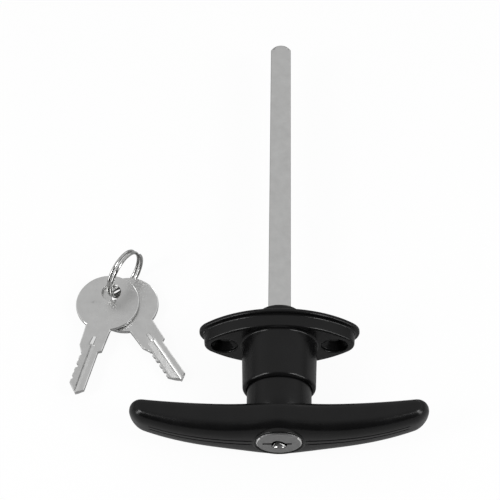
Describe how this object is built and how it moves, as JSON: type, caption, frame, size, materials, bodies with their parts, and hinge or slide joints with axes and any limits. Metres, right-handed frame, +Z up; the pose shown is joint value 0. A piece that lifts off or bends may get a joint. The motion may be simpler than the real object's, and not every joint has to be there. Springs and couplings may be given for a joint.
{
  "type": "garage door t handle lock",
  "caption": "T-shaped garage door handle with a keyed wafer lock in its hub, an oval screw-on escutcheon, a square drive spindle and flat keys on a split ring.",
  "frame": {"origin": "centre of the two screw holes, on the face that meets the door", "axes": "+Y runs along the spindle into the door, -Y faces the user, X lies along the T-bar at rest and +Z is up"},
  "size_m": [0.1249, 0.1728, 0.032],
  "materials": {
    "black_enamel": "gloss black stove enamel on a die casting",
    "plated_bar": "satin zinc plate",
    "lock_face": "satin nickel plate",
    "key_metal": "bright nickel plate",
    "nickel_wire": "polished",
    "spring_steel": "plain",
    "brass": "plain"
  },
  "bodies": {
    "escutcheon": {"escutcheon": "black_enamel"},
    "handle": {"handle": "black_enamel", "spindle": "plated_bar", "spindle_pin": "spring_steel", "retaining_ring": "spring_steel", "wave_washer": "spring_steel", "thrust_washer": "plated_bar", "lock_sleeve": "brass", "sleeve_pin": "spring_steel"},
    "plug": {"plug": "lock_face", "plug_clip": "spring_steel", "drive_cam": "lock_face", "wafer_spring_1": "spring_steel", "wafer_spring_2": "spring_steel", "wafer_spring_3": "spring_steel", "wafer_spring_4": "spring_steel", "wafer_spring_5": "spring_steel"},
    "bolt": {"locking_bolt": "plated_bar"},
    "wafer_1": {"wafer_1": "brass"},
    "wafer_2": {"wafer_2": "brass"},
    "wafer_3": {"wafer_3": "brass"},
    "wafer_4": {"wafer_4": "brass"},
    "wafer_5": {"wafer_5": "brass"},
    "key_ring": {"split_ring": "nickel_wire"},
    "upper_key": {"upper_key": "key_metal"},
    "lower_key": {"lower_key": "key_metal"}
  },
  "joints": [
    {"name": "handle_turn", "type": "hinge", "parent": "escutcheon", "child": "handle", "pos_m": [0, 0, 0], "axis": [0, 1, 0], "range_deg": [0, 90]},
    {"name": "plug_turn", "type": "hinge", "parent": "handle", "child": "plug", "pos_m": [0, -0.03, 0], "axis": [0, 1, 0], "range_deg": [0, 90]},
    {"name": "bolt_throw", "type": "slide", "parent": "handle", "child": "bolt", "axis": [0, 0, 1], "range_m": [0, 0.00283]},
    {"name": "wafer_1_slide", "type": "slide", "parent": "plug", "child": "wafer_1", "axis": [1, 0, 0], "range_m": [0, 0.0008], "deforming": ["wafer_spring_1"]},
    {"name": "wafer_2_slide", "type": "slide", "parent": "plug", "child": "wafer_2", "axis": [1, 0, 0], "range_m": [0, 0.0008], "deforming": ["wafer_spring_2"]},
    {"name": "wafer_3_slide", "type": "slide", "parent": "plug", "child": "wafer_3", "axis": [1, 0, 0], "range_m": [0, 0.0008], "deforming": ["wafer_spring_3"]},
    {"name": "wafer_4_slide", "type": "slide", "parent": "plug", "child": "wafer_4", "axis": [1, 0, 0], "range_m": [0, 0.0008], "deforming": ["wafer_spring_4"]},
    {"name": "wafer_5_slide", "type": "slide", "parent": "plug", "child": "wafer_5", "axis": [1, 0, 0], "range_m": [0, 0.0008], "deforming": ["wafer_spring_5"]},
    {"name": "keyring_lift", "type": "slide", "parent": "escutcheon", "child": "key_ring", "axis": [0, 0, 1], "range_m": [0, 0.05]},
    {"name": "upper_key_swing", "type": "hinge", "parent": "key_ring", "child": "upper_key", "pos_m": [-0.06181, 0.02233, -0.01165], "axis": [0, 0, 1], "range_deg": [-40, 10]},
    {"name": "lower_key_swing", "type": "hinge", "parent": "key_ring", "child": "lower_key", "pos_m": [-0.05851, 0.02178, -0.01325], "axis": [0, 0, 1], "range_deg": [-10, 8]}
  ],
  "couplings": [
    {"joint": "bolt_throw", "follows": "plug_turn", "m_per_rad": 0.0018006},
    {"joint": "wafer_2_slide", "follows": "wafer_1_slide", "ratio": 1},
    {"joint": "wafer_3_slide", "follows": "wafer_1_slide", "ratio": 1},
    {"joint": "wafer_4_slide", "follows": "wafer_1_slide", "ratio": 1},
    {"joint": "wafer_5_slide", "follows": "wafer_1_slide", "ratio": 1}
  ]
}
